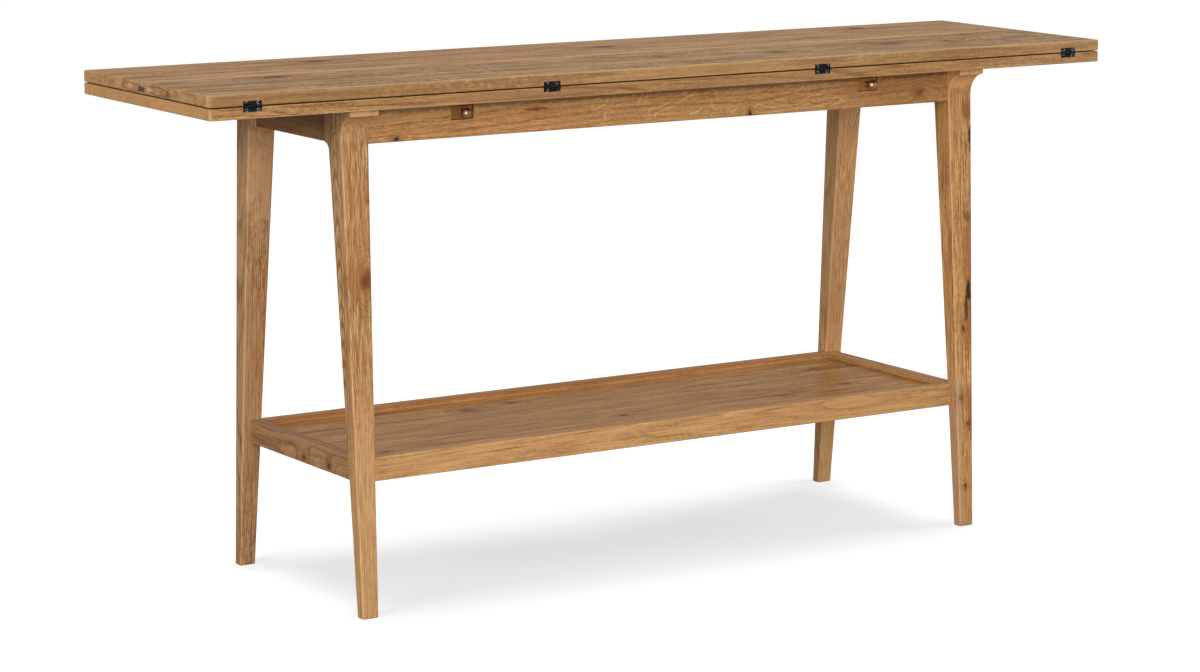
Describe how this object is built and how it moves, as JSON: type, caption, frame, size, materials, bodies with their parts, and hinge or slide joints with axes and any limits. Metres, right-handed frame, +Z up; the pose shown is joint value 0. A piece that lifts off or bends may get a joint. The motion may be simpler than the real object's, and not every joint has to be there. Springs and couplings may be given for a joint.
{
  "type": "folding console table",
  "caption": "Narrow oak console table with a flip-over upper leaf on edge hinges, pull-out supports with knobs, splayed tapered legs and a low tray shelf.",
  "frame": {"origin": "on the floor, under the middle of the closed top", "axes": "+X along the top to the right as seen from the hinged front edge, +Y from the hinged front edge to the back, +Z up"},
  "size_m": [1.578, 0.4025, 0.762],
  "materials": {
    "top_oak": "satin lacquered oak boards",
    "frame_oak": "satin lacquered oak",
    "shelf_oak": "satin lacquered oak boards",
    "loper_oak": "oiled oak, end grain at the front",
    "block_wood": "plain sanded wood",
    "black_metal": "matt black",
    "antique_brass": "darkened, polished on the high spots",
    "screw_steel": "zinc plated",
    "felt": "felt"
  },
  "bodies": {
    "base": {"lower_leaf": "top_oak", "leaf_pads": "felt", "lower_hinge_plates": "black_metal", "hinge_pins": "black_metal", "lower_hinge_screws": "black_metal", "front_apron": "frame_oak", "rear_apron": "frame_oak", "left_end_apron": "frame_oak", "right_end_apron": "frame_oak", "front_left_leg": "frame_oak", "front_right_leg": "frame_oak", "rear_left_leg": "frame_oak", "rear_right_leg": "frame_oak", "corner_blocks": "block_wood", "corner_block_screws": "screw_steel", "top_buttons": "block_wood", "top_button_screws": "screw_steel", "left_guide_strips": "block_wood", "left_guide_keeper": "block_wood", "right_guide_strips": "block_wood", "right_guide_keeper": "block_wood", "guide_screws": "screw_steel", "shelf_front_rail": "frame_oak", "shelf_rear_rail": "frame_oak", "shelf_left_rail": "frame_oak", "shelf_right_rail": "frame_oak", "shelf_panel": "shelf_oak", "shelf_dowels": "block_wood", "shelf_cleats": "block_wood", "shelf_cleat_screws": "screw_steel"},
    "upper_leaf": {"upper_leaf": "top_oak", "upper_hinge_plates": "black_metal", "upper_hinge_screws": "black_metal"},
    "left_loper": {"left_loper": "loper_oak", "left_loper_knob": "antique_brass", "left_knob_stud": "screw_steel", "left_stop_pin": "block_wood"},
    "right_loper": {"right_loper": "loper_oak", "right_loper_knob": "antique_brass", "right_knob_stud": "screw_steel", "right_stop_pin": "block_wood"}
  },
  "joints": [
    {"name": "upper_leaf_hinge", "type": "hinge", "parent": "base", "child": "upper_leaf", "pos_m": [0, -0.2005, 0.74475], "axis": [1, 0, 0], "range_deg": [0, 180]},
    {"name": "left_loper_slide", "type": "slide", "parent": "base", "child": "left_loper", "axis": [0, -1, 0], "range_m": [0, 0.1894]},
    {"name": "right_loper_slide", "type": "slide", "parent": "base", "child": "right_loper", "axis": [0, -1, 0], "range_m": [0, 0.1894]}
  ]
}
